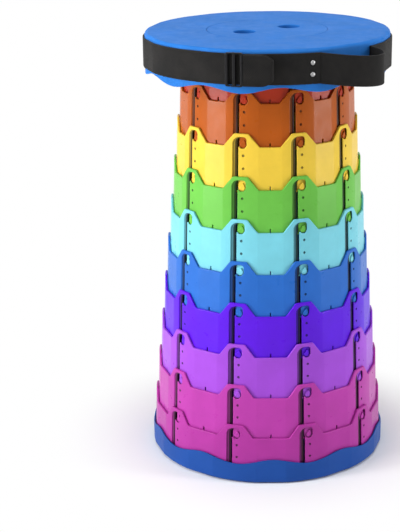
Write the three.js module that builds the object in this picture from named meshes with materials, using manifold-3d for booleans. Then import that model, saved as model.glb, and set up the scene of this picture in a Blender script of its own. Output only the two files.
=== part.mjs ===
// Collapsible telescopic stool: ten nested plastic tiers between a seat cover and a base cover,
// with a webbing carry strap round the seat rim.
// Millimetres, +Z up, drawn extended. The origin is the centre of the base's underside.
// The front of the stool faces -Y, and a bearing is an angle from -Y towards +X.
import * as THREE from 'three';
import { mergeVertices } from 'three/addons/utils/BufferGeometryUtils.js';
import Module from 'manifold-3d';

const wasm = await Module();
wasm.setup();

// Fits
const CLEARANCE = 0.3; // gap between pieces that touch
const OVERRUN = 5; // how far a cutter runs past what it cuts
const SMOOTHING = 0.005;

// Tiers, each a leaning ten-humped ring
const TIER_COUNT = 10;
const HUMP_COUNT = 10;
const HUMP_BEARING = -15; // degrees, middle of the first hump side
const HUMP_HALF_ANGLE = 10.9; // degrees, the hump sides are wider than the dip sides
const HUMP_FACETS = 3; // a hump side follows the corner circle, a dip side is flat
const TIER_HEIGHT = 59.1;
const TIER_WALL = 2;
const RUNNING_GAP = 0.7; // from a tier's foot to the wall it slides in, when extended
const LEAN_SHARE = 0.03; // how far a tier's wall leans in, as a share of its height
const DIP_DEPTH = 13.2;
const HUMP_BASE_WIDTH = 38;
const HUMP_TOP_SHARE = 0.41; // flat top of a hump, as a share of its side's width

// Lock of one tier in the next: lugs on the foot, hooked slots in the hump sides
const LUG_WIDTH = 7;
const LUG_HEIGHT = 8.5;
const LUG_LIFT = 1.9; // above the tier's foot
const LUG_OFFSET = 1.8; // to the right of the hump's middle
const LUG_RECESS = 1; // from the outer tier's face to the lug's face
const LUG_OUTLINE_SHARES = [
  [-0.25, 0],
  [0.25, 0],
  [0.5, 0.35],
  [0.14, 1],
  [-0.5, 0.35],
];
const HOOK_RIM = 3.4; // wall left above the slot
const HOOK_HEIGHT = 11; // from the lug's foot to the top of the slot
const HOOK_SIDE_ROOM = 0.5;
const HOOK_CORNER = 2.2;
const ARCH_RADIUS = 8;
const ARCH_STEPS = 2;
const SLOT_WIDTH = 5.9;
const SLOT_RIB = 0.7; // wall between the slot and the lug's groove
const FOOT_BAND = 1.6; // wall left under the slot

// Covers
const COVER_RADIUS = 125; // to the corners
const COVER_WALL = 1.7;
const SEAT_PLATE = 2.7;
const BASE_PLATE = 2.4;
const COVER_EDGE = 3.5; // rounding of the seat's and base's outer edge
const EDGE_STEPS = 2;
const BASE_RIM_HEIGHT = 23.2;
const RIM_WAVE = 2.9; // half the height of the waves in both rims
const SEAM_GAP = 2.3; // between the two rims when folded, on average
const BASE_WAVE_BEARING = -14; // degrees, a low point of the base rim
const SEAT_WAVE_BEARING = -10.5; // degrees, a low point of the seat rim
const BASE_LUG_ENTRY = 0.9; // how far the lowest tier's lugs reach into the base wall

// Centre caps of both covers
const CAP_RADIUS = 61.5;
const CAP_PLATE = 2.1;
const CAP_LEDGE_WIDTH = 12;
const CAP_LEDGE_PLATE = 2;
const CAP_LEDGE_MARGIN = 4; // ledge past the cap's edge
const CAP_SKIRT_WALL = 1.8;
const CAP_SKIRT_HEIGHT = 4;
const CAP_SIDES = 36;
const FINGER_HOLE_RADIUS = 11.2;
const FINGER_HOLE_SPACING = 55.2;
const FINGER_HOLE_TURN = 36; // degrees, from +X
const FINGER_CUP_DEPTH = 20;
const FINGER_CUP_WALL = 1.6;
const FINGER_CUP_SIDES = 16;

// Screws between the seat cover and the top tier
const SCREW_COUNT = 5;
const SCREW_RADIUS = 1.4;
const SCREW_HEAD_RADIUS = 3.2;
const SCREW_HEAD_HEIGHT = 2;
const SCREW_LENGTH = 9;
const SCREW_SIDES = 8;
const EAR_LENGTH = 11;
const EAR_WIDTH = 10;
const EAR_PLATE = 2.4;
const EAR_DROP = 3; // under the tier's dips
const BOSS_RADIUS = 3.8;
const BOSS_SIDES = 8;

// Strap
const STRAP_WIDTH = 30;
const STRAP_THICKNESS = 1.6;
const STRAP_DROP = 3.8; // under the seat's top
const STRAP_END = 7.5; // webbing past each pair of rivets
const FIRST_RIVET_SIDE = 1; // hump sides, counted from the first one, that carry the rivets
const SECOND_RIVET_SIDE = 2;
const HANDLE_FIRST_ANGLE = 49; // degrees, between the handle and its chord at the first rivets
const HANDLE_FIRST_ARM = 53; // length of the curve's control arm there
const HANDLE_SECOND_ANGLE = 110;
const HANDLE_SECOND_ARM = 35;
const HANDLE_STEPS = 12;
const RIVET_SPACING = 11.2;
const RIVET_HEAD_RADIUS = 2.4;
const RIVET_HEAD_HEIGHT = 1.3;
const RIVET_SHANK_RADIUS = 1.3;
const RIVET_SIDES = 8;
const SLIDER_LENGTH = 18; // along the strap
const SLIDER_THICKNESS = 2.6;
const SLIDER_MARGIN = 1.4; // past each edge of the webbing
const SLIDER_BAR = 3;
const SLIDER_OFFSET = 4.5; // middle of the slider, from the middle of its hump side
const FOLD_LENGTH = 29;
const FOLD_GAP = 3; // between the two layers of the folded webbing
const FOLD_TURN = 8; // degrees, from the slider's face towards the rim
const FOLD_STEPS = 4;

// Worked out from the sizes above
const PERIOD = 360 / HUMP_COUNT;
const TURN = THREE.MathUtils.degToRad(PERIOD / 2); // from a hump side to the next dip side
const HUMP_HALF = THREE.MathUtils.degToRad(HUMP_HALF_ANGLE);
const DIP_HALF = TURN - HUMP_HALF;
const HUMP_FACET_HALF = HUMP_HALF / HUMP_FACETS;
const TRAVEL = TIER_HEIGHT - HOOK_RIM - HOOK_HEIGHT - LUG_LIFT;
const TIER_FLOOR = BASE_PLATE + CLEARANCE;
const TOP_FLOOR = TIER_FLOOR + (TIER_COUNT - 1) * TRAVEL;
const SEAT_UNDERSIDE = TOP_FLOOR + TIER_HEIGHT + CLEARANCE;
const SEAT_TOP = SEAT_UNDERSIDE + SEAT_PLATE;
const FOLDED_HEIGHT = SEAT_TOP - (TIER_COUNT - 1) * TRAVEL;
const SKIRT_DEPTH = FOLDED_HEIGHT - BASE_RIM_HEIGHT - SEAM_GAP;
const BOTTOM_FOOT_RADIUS = COVER_RADIUS - (COVER_WALL + CLEARANCE) / Math.cos(DIP_HALF);
const TIER_STEP = (TIER_WALL + RUNNING_GAP) / Math.cos(DIP_HALF) + TRAVEL * LEAN_SHARE;
const DIP_LEVEL = TIER_HEIGHT - DIP_DEPTH;
const STRAP_FLOOR = SEAT_TOP - STRAP_DROP - STRAP_WIDTH;
const STRAP_MIDDLE = STRAP_FLOOR + STRAP_WIDTH / 2;
const COVER_HUMP_FACE = COVER_RADIUS * Math.cos(HUMP_FACET_HALF);

// Solids: three.js geometry in, three.js geometry out, joined and cut in between

function toSolid(geometry) {
  const bare = geometry.clone();
  bare.deleteAttribute('normal');
  bare.deleteAttribute('uv');
  const merged = mergeVertices(bare);
  return new wasm.Manifold(new wasm.Mesh({
    numProp: 3,
    vertProperties: new Float32Array(merged.attributes.position.array),
    triVerts: new Uint32Array(merged.index.array),
  }));
}

// Points that a cut leaves within SMOOTHING of a straight edge or flat face are dropped.
function toGeometry(solid) {
  const mesh = solid.simplify(SMOOTHING).getMesh();
  const geometry = new THREE.BufferGeometry();
  geometry.setAttribute('position', new THREE.BufferAttribute(mesh.vertProperties, 3));
  geometry.setIndex(new THREE.BufferAttribute(mesh.triVerts, 1));
  geometry.computeVertexNormals();
  return geometry;
}

function carve(geometry, additions, cutters) {
  let solid = toSolid(geometry);
  for (const addition of additions) {
    solid = solid.add(toSolid(addition));
  }
  for (const cutter of cutters) {
    solid = solid.subtract(toSolid(cutter));
  }
  return toGeometry(solid);
}

// A closed skin over loops of points with equal counts; it ends in two flat caps, or runs
// back into its first loop when it is a hollow ring.
function skin(loops, hollow) {
  const count = loops[0].length;
  const points = loops.flat();
  const faces = [];
  const joins = hollow ? loops.length : loops.length - 1;
  for (let level = 0; level < joins; level += 1) {
    const low = level * count;
    const high = ((level + 1) % loops.length) * count;
    for (let i = 0; i < count; i += 1) {
      const next = (i + 1) % count;
      faces.push(low + i, low + next, high + next, low + i, high + next, high + i);
    }
  }
  if (!hollow) {
    const last = (loops.length - 1) * count;
    const ends = [[0, 1], [last, -1]];
    for (const [start, way] of ends) {
      const hub = points.length;
      points.push(new THREE.Vector3(0, 0, points[start].z));
      for (let i = 0; i < count; i += 1) {
        const next = (i + 1) % count;
        const pair = way > 0 ? [start + next, start + i] : [start + i, start + next];
        faces.push(hub, ...pair);
      }
    }
  }
  const geometry = new THREE.BufferGeometry().setFromPoints(points);
  geometry.setIndex(faces);
  return geometry;
}

// A flat outline, drawn as seen from outside, made into a slab between two distances from
// the stool's axis at the front, then turned to a bearing.
function radialSlab(outline, inner, outer, bearing) {
  const shape = new THREE.Shape(outline.map(([x, z]) => new THREE.Vector2(x, z)));
  const geometry = new THREE.ExtrudeGeometry(shape, { depth: outer - inner, bevelEnabled: false });
  geometry.rotateX(Math.PI / 2);
  geometry.translate(0, -inner, 0);
  geometry.rotateZ(THREE.MathUtils.degToRad(bearing));
  return geometry;
}

function radialBox(width, floor, height, inner, outer, bearing, offset = 0) {
  const left = offset - width / 2;
  const right = offset + width / 2;
  const outline = [[left, floor], [right, floor], [right, floor + height], [left, floor + height]];
  return radialSlab(outline, inner, outer, bearing);
}

// A solid of revolution about +Z from [radius, height] pairs listed from the foot up.
function turned(profile, sides) {
  const points = profile.map(([radius, height]) => new THREE.Vector2(radius, height));
  const geometry = new THREE.LatheGeometry(points, sides);
  geometry.rotateX(Math.PI / 2);
  return geometry;
}

function disc(radius, floor, top, sides) {
  return turned([[0, floor], [radius, floor], [radius, top], [0, top]], sides);
}

function washer(inner, outer, floor, top, sides) {
  return turned([[inner, floor], [outer, floor], [outer, top], [inner, top], [inner, floor]], sides);
}

// Plan of the stool: ten hump sides and ten dip sides, turned about the axis

function humpBearing(index) {
  return HUMP_BEARING + PERIOD * index;
}

function dipBearing(index) {
  return humpBearing(index) + PERIOD / 2;
}

function onSide(offset, face, bearing, z = 0) {
  const turn = THREE.MathUtils.degToRad(bearing);
  return new THREE.Vector3(offset, -face, z).applyAxisAngle(new THREE.Vector3(0, 0, 1), turn);
}

// Facets round the plan for a corner radius, drawn inset: those of a hump side, then its dip
// side's one.
function planFacets(radius, inset) {
  const facets = [];
  for (let index = 0; index < HUMP_COUNT; index += 1) {
    for (let part = 0; part < HUMP_FACETS; part += 1) {
      const turn = (2 * part + 1 - HUMP_FACETS) * HUMP_FACET_HALF;
      const bearing = humpBearing(index) + THREE.MathUtils.radToDeg(turn);
      facets.push({ bearing, face: radius * Math.cos(HUMP_FACET_HALF) - inset });
    }
    facets.push({ bearing: dipBearing(index), face: radius * Math.cos(DIP_HALF) - inset });
  }
  return facets;
}

// The corner where two neighbouring facets meet.
function facetCorner(facet, other) {
  const turn = THREE.MathUtils.degToRad(other.bearing - facet.bearing);
  const offset = (other.face - facet.face * Math.cos(turn)) / Math.sin(turn);
  return onSide(offset, facet.face, facet.bearing);
}

// A loop round the plan; with split dips it also has a point in the middle of each dip side.
function planLoop(radius, inset, splitDips, height) {
  const facets = planFacets(radius, inset);
  const loop = [];
  facets.forEach((facet, index) => {
    const before = facets[(index + facets.length - 1) % facets.length];
    loop.push(facetCorner(facet, before));
    if (splitDips && index % (HUMP_FACETS + 1) === HUMP_FACETS) {
      loop.push(onSide(0, facet.face, facet.bearing));
    }
  });
  for (const point of loop) {
    point.z = height(bearingOf(point));
  }
  return loop;
}

function bearingOf(point) {
  return THREE.MathUtils.radToDeg(Math.atan2(point.x, -point.y));
}

// Tiers, counted from 0 at the top

function tierFloor(index) {
  return TIER_FLOOR + (TIER_COUNT - 1 - index) * TRAVEL;
}

function tierRadius(index, height) {
  const foot = BOTTOM_FOOT_RADIUS - (TIER_COUNT - 1 - index) * TIER_STEP;
  return foot - height * LEAN_SHARE;
}

function tierFace(index, height) {
  return tierRadius(index, height) * Math.cos(HUMP_FACET_HALF);
}

// Distance from the axis to the face of a tier's lugs, which stand in the slots of the tier
// outside it. The lowest tier's lugs stand in the base wall.
function lugFace(index) {
  if (index === TIER_COUNT - 1) {
    return COVER_HUMP_FACE - COVER_WALL + BASE_LUG_ENTRY;
  }
  return tierFace(index + 1, TRAVEL + LUG_LIFT + LUG_HEIGHT) - LUG_RECESS;
}

function tierWall(index) {
  const loop = (inset, height) => planLoop(tierRadius(index, height), inset, false, () => height);
  return skin([
    loop(0, 0),
    loop(0, TIER_HEIGHT),
    loop(TIER_WALL, TIER_HEIGHT),
    loop(TIER_WALL, 0),
  ], true);
}

function lugs(index) {
  const outline = LUG_OUTLINE_SHARES.map(([across, up]) => [
    LUG_OFFSET + across * LUG_WIDTH,
    LUG_LIFT + up * LUG_HEIGHT,
  ]);
  const root = tierFace(index, LUG_LIFT + LUG_HEIGHT) - TIER_WALL / 2;
  return humpCopies((bearing) => radialSlab(outline, root, lugFace(index), bearing));
}

function humpCopies(make) {
  return Array.from({ length: HUMP_COUNT }, (_, index) => make(humpBearing(index)));
}

function dipCopies(make) {
  return Array.from({ length: HUMP_COUNT }, (_, index) => make(dipBearing(index)));
}

function cutReach(index) {
  const inner = tierFace(index, TIER_HEIGHT) * Math.cos(TURN) - TIER_WALL - OVERRUN;
  return [inner, tierRadius(index, 0) + OVERRUN];
}

// The dips between the humps. A cutter is drawn flat on its dip side, and the widths of a hump
// are measured round its curve.
function dipCutters(index) {
  const radius = tierRadius(index, DIP_LEVEL);
  const foot = radius * Math.sin(TURN - HUMP_BASE_WIDTH / 2 / radius);
  const top = radius * Math.sin(TURN - HUMP_HALF * HUMP_TOP_SHARE);
  const ceiling = TIER_HEIGHT + OVERRUN;
  const outline = [
    [-foot, DIP_LEVEL],
    [foot, DIP_LEVEL],
    [top, TIER_HEIGHT],
    [top, ceiling],
    [-top, ceiling],
    [-top, TIER_HEIGHT],
  ];
  return dipCopies((bearing) => radialSlab(outline, ...cutReach(index), bearing));
}

function hookOutline() {
  const lugLeft = LUG_OFFSET - LUG_WIDTH / 2;
  const lugRight = LUG_OFFSET + LUG_WIDTH / 2;
  const slotRight = lugLeft - CLEARANCE - SLOT_RIB;
  const slotLeft = slotRight - SLOT_WIDTH;
  const right = lugRight + HOOK_SIDE_ROOM;
  const floor = TRAVEL + LUG_LIFT - CLEARANCE;
  const top = TIER_HEIGHT - HOOK_RIM;
  const [footLeft, footRight, sideRight] = LUG_OUTLINE_SHARES;
  const shoulder = floor + sideRight[1] * LUG_HEIGHT;
  const outline = [
    [slotLeft, FOOT_BAND],
    [slotRight, FOOT_BAND],
    [slotRight, shoulder],
    [LUG_OFFSET + footLeft[0] * LUG_WIDTH, floor],
    [LUG_OFFSET + footRight[0] * LUG_WIDTH, floor],
    [right, shoulder],
    [right, top - HOOK_CORNER],
    [right - HOOK_CORNER, top],
  ];
  for (let step = 0; step <= ARCH_STEPS; step += 1) {
    const turn = (Math.PI / 2) * (1 + step / ARCH_STEPS);
    outline.push([
      slotLeft + ARCH_RADIUS + ARCH_RADIUS * Math.cos(turn),
      top - ARCH_RADIUS + ARCH_RADIUS * Math.sin(turn),
    ]);
  }
  return outline;
}

// The blind groove that the inner tier's lugs run down when the stool folds.
function grooveCutter(index, bearing) {
  const width = LUG_WIDTH + 2 * CLEARANCE;
  const height = TRAVEL + LUG_LIFT + LUG_HEIGHT + CLEARANCE + OVERRUN;
  const [inner] = cutReach(index);
  const outer = lugFace(index - 1) + CLEARANCE;
  return radialBox(width, -OVERRUN, height, inner, outer, bearing, LUG_OFFSET);
}

function tierGeometry(index) {
  const reach = cutReach(index);
  const cutters = [
    ...dipCutters(index),
    ...humpCopies((bearing) => radialSlab(hookOutline(), ...reach, bearing)),
  ];
  if (index > 0) {
    cutters.push(...humpCopies((bearing) => grooveCutter(index, bearing)));
  }
  const walls = carve(tierWall(index), [], cutters);
  const ears = index === 0 ? screwEars() : [];
  const holes = index === 0 ? earHoles() : [];
  const geometry = carve(walls, [...lugs(index), ...ears], holes);
  geometry.translate(0, 0, tierFloor(index));
  return geometry;
}

// Screws, the ears of the top tier that they pass and the bosses of the seat cover

function screwDistance() {
  const face = tierRadius(0, DIP_LEVEL) * Math.cos(DIP_HALF) - TIER_WALL;
  return face - EAR_LENGTH + EAR_WIDTH / 2;
}

function screwCopies(make) {
  const spots = [];
  for (let index = 0; index < SCREW_COUNT; index += 1) {
    const bearing = dipBearing(0) + (360 / SCREW_COUNT) * index;
    spots.push(make(onSide(0, screwDistance(), bearing), bearing, index));
  }
  return spots;
}

function placed(geometry, spot, lift = 0) {
  geometry.translate(spot.x, spot.y, lift);
  return geometry;
}

function screwEars() {
  const wall = tierRadius(0, DIP_LEVEL) * Math.cos(DIP_HALF) - TIER_WALL / 2;
  const inner = screwDistance() - EAR_WIDTH / 2;
  const floor = DIP_LEVEL - EAR_DROP - EAR_PLATE;
  return screwCopies((_, bearing) => radialBox(EAR_WIDTH, floor, EAR_PLATE, inner, wall, bearing));
}

function earHoles() {
  const radius = SCREW_RADIUS + CLEARANCE;
  return screwCopies((spot) => placed(disc(radius, 0, TIER_HEIGHT, SCREW_SIDES), spot));
}

function earTop() {
  return TOP_FLOOR + DIP_LEVEL - EAR_DROP;
}

function screwBosses() {
  return screwCopies((spot) => placed(
    disc(BOSS_RADIUS, earTop() + CLEARANCE, SEAT_UNDERSIDE + SEAT_PLATE / 2, BOSS_SIDES),
    spot,
  ));
}

function bossHoles() {
  const top = earTop() + SCREW_LENGTH;
  const floor = earTop() - OVERRUN;
  return screwCopies((spot) => placed(
    disc(SCREW_RADIUS + CLEARANCE, floor, top, SCREW_SIDES),
    spot,
  ));
}

function screwGeometry(spot) {
  const seat = earTop() - EAR_PLATE - CLEARANCE;
  const tip = seat + SCREW_LENGTH;
  return placed(turned([
    [0, seat - SCREW_HEAD_HEIGHT],
    [SCREW_HEAD_RADIUS, seat - SCREW_HEAD_HEIGHT],
    [SCREW_HEAD_RADIUS, seat],
    [SCREW_RADIUS, seat],
    [SCREW_RADIUS, tip],
    [0, tip],
  ], SCREW_SIDES), spot);
}

// Covers and their centre caps

function wave(bearing, low) {
  return RIM_WAVE * Math.cos(THREE.MathUtils.degToRad(HUMP_COUNT * (bearing - low)));
}

// Loops of a cover's rounded edge, from its flat face to its wall.
function coverEdge(face, way) {
  const loops = [];
  for (let step = 0; step <= EDGE_STEPS; step += 1) {
    const turn = (Math.PI / 2) * (step / EDGE_STEPS);
    const inset = COVER_EDGE * (1 - Math.sin(turn));
    const height = face - way * COVER_EDGE * (1 - Math.cos(turn));
    loops.push(coverLoop(inset, () => height));
  }
  return loops;
}

function coverLoop(inset, height) {
  return planLoop(COVER_RADIUS, inset, true, height);
}

function capLedge(floor, top) {
  const outer = CAP_RADIUS + CLEARANCE + CAP_LEDGE_MARGIN;
  return washer(CAP_RADIUS - CAP_LEDGE_WIDTH, outer, floor, top, CAP_SIDES);
}

function seatGeometry() {
  const rim = (bearing) => SEAT_TOP - SKIRT_DEPTH - wave(bearing, SEAT_WAVE_BEARING);
  const shell = skin([
    coverLoop(COVER_WALL, () => SEAT_UNDERSIDE),
    coverLoop(COVER_WALL, rim),
    coverLoop(0, rim),
    ...coverEdge(SEAT_TOP, 1).reverse(),
  ], false);
  const ledgeTop = SEAT_TOP - CAP_PLATE - CLEARANCE;
  const ledge = capLedge(SEAT_UNDERSIDE - CAP_LEDGE_PLATE, SEAT_UNDERSIDE + SEAT_PLATE / 2);
  const opening = CAP_RADIUS - CAP_LEDGE_WIDTH;
  const shaft = disc(opening, SEAT_UNDERSIDE - OVERRUN, SEAT_TOP + OVERRUN, CAP_SIDES);
  const recess = disc(CAP_RADIUS + CLEARANCE, ledgeTop, SEAT_TOP + OVERRUN, CAP_SIDES);
  const holes = rivetSpots().map(({ bearing, z }) => rivetHole(bearing, z));
  return carve(shell, [ledge, ...screwBosses()], [shaft, recess, ...bossHoles(), ...holes]);
}

function baseGeometry() {
  const rim = (bearing) => BASE_RIM_HEIGHT - wave(bearing, BASE_WAVE_BEARING);
  const shell = skin([
    ...coverEdge(0, -1),
    coverLoop(0, rim),
    coverLoop(COVER_WALL, rim),
    coverLoop(COVER_WALL, () => BASE_PLATE),
  ], false);
  const ledge = capLedge(BASE_PLATE / 2, BASE_PLATE + CAP_LEDGE_PLATE);
  const opening = CAP_RADIUS - CAP_LEDGE_WIDTH;
  const shaft = disc(opening, -OVERRUN, BASE_PLATE + OVERRUN, CAP_SIDES);
  const recess = disc(CAP_RADIUS + CLEARANCE, -OVERRUN, CAP_PLATE + CLEARANCE, CAP_SIDES);
  const inner = COVER_HUMP_FACE - COVER_WALL - OVERRUN;
  const outer = lugFace(TIER_COUNT - 1) + CLEARANCE;
  const width = LUG_WIDTH + 2 * CLEARANCE;
  const height = LUG_HEIGHT + 2 * CLEARANCE;
  const floor = TIER_FLOOR + LUG_LIFT - CLEARANCE;
  const pockets = humpCopies((bearing) => (
    radialBox(width, floor, height, inner, outer, bearing, LUG_OFFSET)
  ));
  return carve(shell, [ledge], [shaft, recess, ...pockets]);
}

// A flat cap whose outer face is at the given height, with a skirt that grips the ledge.
function capParts(face, way) {
  const inside = face - way * CAP_PLATE;
  const span = [face, inside].sort((a, b) => a - b);
  const plate = disc(CAP_RADIUS, ...span, CAP_SIDES);
  const skirtEnd = inside - way * CAP_SKIRT_HEIGHT;
  const skirtSpan = [inside + way * (CAP_PLATE / 2), skirtEnd].sort((a, b) => a - b);
  const outer = CAP_RADIUS - CAP_LEDGE_WIDTH - CLEARANCE;
  const skirt = washer(outer - CAP_SKIRT_WALL, outer, ...skirtSpan, CAP_SIDES);
  return { plate, skirt };
}

function fingerHoleSpots() {
  const turn = THREE.MathUtils.degToRad(FINGER_HOLE_TURN);
  const reach = new THREE.Vector3(FINGER_HOLE_SPACING / 2, 0, 0);
  const first = reach.clone().applyAxisAngle(new THREE.Vector3(0, 0, 1), turn);
  return [first, first.clone().negate()];
}

function seatCapGeometry() {
  const { plate, skirt } = capParts(SEAT_TOP, 1);
  const floor = SEAT_TOP - FINGER_CUP_DEPTH;
  const cup = FINGER_HOLE_RADIUS + FINGER_CUP_WALL;
  const bottom = floor - FINGER_CUP_WALL;
  const inside = SEAT_TOP - CAP_PLATE / 2;
  const cups = fingerHoleSpots().map((spot) => (
    placed(disc(cup, bottom, inside, FINGER_CUP_SIDES), spot)
  ));
  const top = SEAT_TOP + OVERRUN;
  const bores = fingerHoleSpots().map((spot) => (
    placed(disc(FINGER_HOLE_RADIUS, floor, top, FINGER_CUP_SIDES), spot)
  ));
  return carve(plate, [skirt, ...cups], bores);
}

function baseCapGeometry() {
  const { plate, skirt } = capParts(0, -1);
  return carve(plate, [skirt], []);
}

// Strap, handle, slider and rivets

const STRAP_INNER_FACE = COVER_HUMP_FACE + CLEARANCE;
const STRAP_OUTER_FACE = STRAP_INNER_FACE + STRAP_THICKNESS;

function rivetSpots() {
  const spots = [];
  for (const side of [FIRST_RIVET_SIDE, SECOND_RIVET_SIDE]) {
    for (const z of [STRAP_MIDDLE + RIVET_SPACING / 2, STRAP_MIDDLE - RIVET_SPACING / 2]) {
      spots.push({ bearing: humpBearing(side), z });
    }
  }
  return spots;
}

// Turns a solid drawn about +Z so that it points outwards at a bearing, at height z.
function pointOut(geometry, bearing, z) {
  geometry.rotateX(Math.PI / 2);
  geometry.translate(0, 0, z);
  geometry.rotateZ(THREE.MathUtils.degToRad(bearing));
  return geometry;
}

function rivetHole(bearing, z) {
  const inner = COVER_HUMP_FACE - COVER_WALL - OVERRUN;
  const outer = STRAP_OUTER_FACE + OVERRUN;
  return pointOut(disc(RIVET_SHANK_RADIUS + CLEARANCE, inner, outer, RIVET_SIDES), bearing, z);
}

function rivetGeometry(bearing, z) {
  const seat = STRAP_OUTER_FACE + CLEARANCE;
  const tail = COVER_HUMP_FACE - COVER_WALL;
  const crown = RIVET_HEAD_HEIGHT / 2;
  const crownRadius = RIVET_HEAD_RADIUS * Math.cos(Math.PI / 4);
  return pointOut(turned([
    [0, tail],
    [RIVET_SHANK_RADIUS, tail],
    [RIVET_SHANK_RADIUS, seat],
    [RIVET_HEAD_RADIUS, seat],
    [crownRadius, seat + crown],
    [0, seat + RIVET_HEAD_HEIGHT],
  ], RIVET_SIDES), bearing, z);
}

function extrudePlan(points, floor, height) {
  const shape = new THREE.Shape(points.map((point) => new THREE.Vector2(point.x, point.y)));
  const geometry = new THREE.ExtrudeGeometry(shape, { depth: height, bevelEnabled: false });
  geometry.translate(0, 0, floor);
  return geometry;
}

// Plan points of the strap round the rim, the long way from one rivet side to the other.
function bandLine(inset) {
  const facets = planFacets(COVER_RADIUS, inset);
  const middle = (side) => side * (HUMP_FACETS + 1) + (HUMP_FACETS - 1) / 2;
  const start = middle(FIRST_RIVET_SIDE);
  const count = facets.length - (middle(SECOND_RIVET_SIDE) - start);
  const at = (step) => facets[(start - step + facets.length) % facets.length];
  const line = [onSide(STRAP_END, at(0).face, at(0).bearing)];
  for (let step = 0; step < count; step += 1) {
    line.push(facetCorner(at(step), at(step + 1)));
  }
  line.push(onSide(-STRAP_END, at(count).face, at(count).bearing));
  return line;
}

function bandGeometry() {
  const inner = bandLine(-CLEARANCE);
  const outer = bandLine(-CLEARANCE - STRAP_THICKNESS);
  const band = extrudePlan([...inner, ...outer.reverse()], STRAP_FLOOR, STRAP_WIDTH);
  return carve(band, [], rivetSpots().map(({ bearing, z }) => rivetHole(bearing, z)));
}

function handleCurve() {
  const face = (STRAP_INNER_FACE + STRAP_OUTER_FACE) / 2;
  const end = STRAP_END + CLEARANCE + STRAP_THICKNESS / 2;
  const first = onSide(end, face, humpBearing(FIRST_RIVET_SIDE));
  const last = onSide(-end, face, humpBearing(SECOND_RIVET_SIDE));
  const along = last.clone().sub(first).normalize();
  const up = new THREE.Vector3(0, 0, 1);
  const firstTurn = THREE.MathUtils.degToRad(-HANDLE_FIRST_ANGLE);
  const secondTurn = THREE.MathUtils.degToRad(180 + HANDLE_SECOND_ANGLE);
  const firstArm = along.clone().applyAxisAngle(up, firstTurn).multiplyScalar(HANDLE_FIRST_ARM);
  const secondArm = along.clone().applyAxisAngle(up, secondTurn).multiplyScalar(HANDLE_SECOND_ARM);
  return new THREE.CubicBezierCurve3(first, firstArm.add(first), secondArm.add(last), last);
}

function handleGeometry() {
  const curve = handleCurve();
  const inner = [];
  const outer = [];
  for (let step = 0; step <= HANDLE_STEPS; step += 1) {
    const share = step / HANDLE_STEPS;
    const point = curve.getPoint(share);
    const along = curve.getTangent(share);
    const side = new THREE.Vector3(along.y, -along.x, 0).multiplyScalar(STRAP_THICKNESS / 2);
    outer.push(point.clone().add(side));
    inner.push(point.clone().sub(side));
  }
  return extrudePlan([...outer, ...inner.reverse()], STRAP_FLOOR, STRAP_WIDTH);
}

function sliderGeometry() {
  const bearing = humpBearing(0);
  const inner = STRAP_OUTER_FACE + CLEARANCE;
  const outer = inner + SLIDER_THICKNESS;
  const floor = STRAP_FLOOR - SLIDER_MARGIN;
  const height = STRAP_WIDTH + 2 * SLIDER_MARGIN;
  const frame = radialBox(SLIDER_LENGTH, floor, height, inner, outer, bearing, SLIDER_OFFSET);
  const window = (SLIDER_LENGTH - 3 * SLIDER_BAR) / 2;
  const shift = (window + SLIDER_BAR) / 2;
  const windows = [-shift, shift].map((offset) => radialBox(
    window,
    STRAP_FLOOR,
    STRAP_WIDTH,
    inner - OVERRUN,
    outer + OVERRUN,
    bearing,
    SLIDER_OFFSET + offset,
  ));
  return carve(frame, [], windows);
}

// The strap's loose end, folded back on itself beside the slider. It leaves the slider at an
// angle and is drawn along its own line from there.
function foldGeometry() {
  const inner = STRAP_OUTER_FACE + CLEARANCE;
  const start = onSide(SLIDER_OFFSET + SLIDER_LENGTH / 2 + CLEARANCE, inner, 0);
  const depth = 2 * STRAP_THICKNESS + FOLD_GAP;
  const middle = depth / 2;
  const bend = FOLD_LENGTH - middle;
  const lean = THREE.MathUtils.degToRad(FOLD_TURN);
  const turn = THREE.MathUtils.degToRad(humpBearing(0));
  const up = new THREE.Vector3(0, 0, 1);
  const at = (along, out) => new THREE.Vector3(along, -out, 0)
    .applyAxisAngle(up, lean)
    .add(start)
    .applyAxisAngle(up, turn);
  const round = (radius, angle) => at(
    bend + radius * Math.cos(angle),
    middle + radius * Math.sin(angle),
  );
  const line = [];
  for (let step = 0; step <= FOLD_STEPS; step += 1) {
    line.push(round(middle, Math.PI * (step / FOLD_STEPS - 1 / 2)));
  }
  line.push(at(0, depth), at(0, depth - STRAP_THICKNESS));
  for (let step = FOLD_STEPS; step >= 0; step -= 1) {
    line.push(round(FOLD_GAP / 2, Math.PI * (step / FOLD_STEPS - 1 / 2)));
  }
  line.push(at(0, STRAP_THICKNESS), at(0, 0));
  return extrudePlan(line, STRAP_FLOOR, STRAP_WIDTH);
}

// Assembly

const stool = new THREE.Group();

function add(name, geometry, color, roughness, metalness = 0) {
  const material = new THREE.MeshStandardMaterial({ color, roughness, metalness });
  const mesh = new THREE.Mesh(geometry, material);
  mesh.name = name;
  stool.add(mesh);
}

const GLOSS = 0.25;
const SATIN = 0.45;
const COVER_BLUE = 0x3f7fd8;
const WEBBING_BLACK = 0x141414;
const TIER_FINISHES = [
  ['tier_01_red', 0xb8402c],
  ['tier_02_orange', 0xc86a28],
  ['tier_03_yellow', 0xf2c840],
  ['tier_04_green', 0x62b64a],
  ['tier_05_cyan', 0x74c6de],
  ['tier_06_blue', 0x3068c4],
  ['tier_07_purple', 0x5a18d0],
  ['tier_08_orchid', 0xa450cc],
  ['tier_09_magenta', 0xb0429a],
  ['tier_10_pink', 0xa84490],
];

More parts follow.
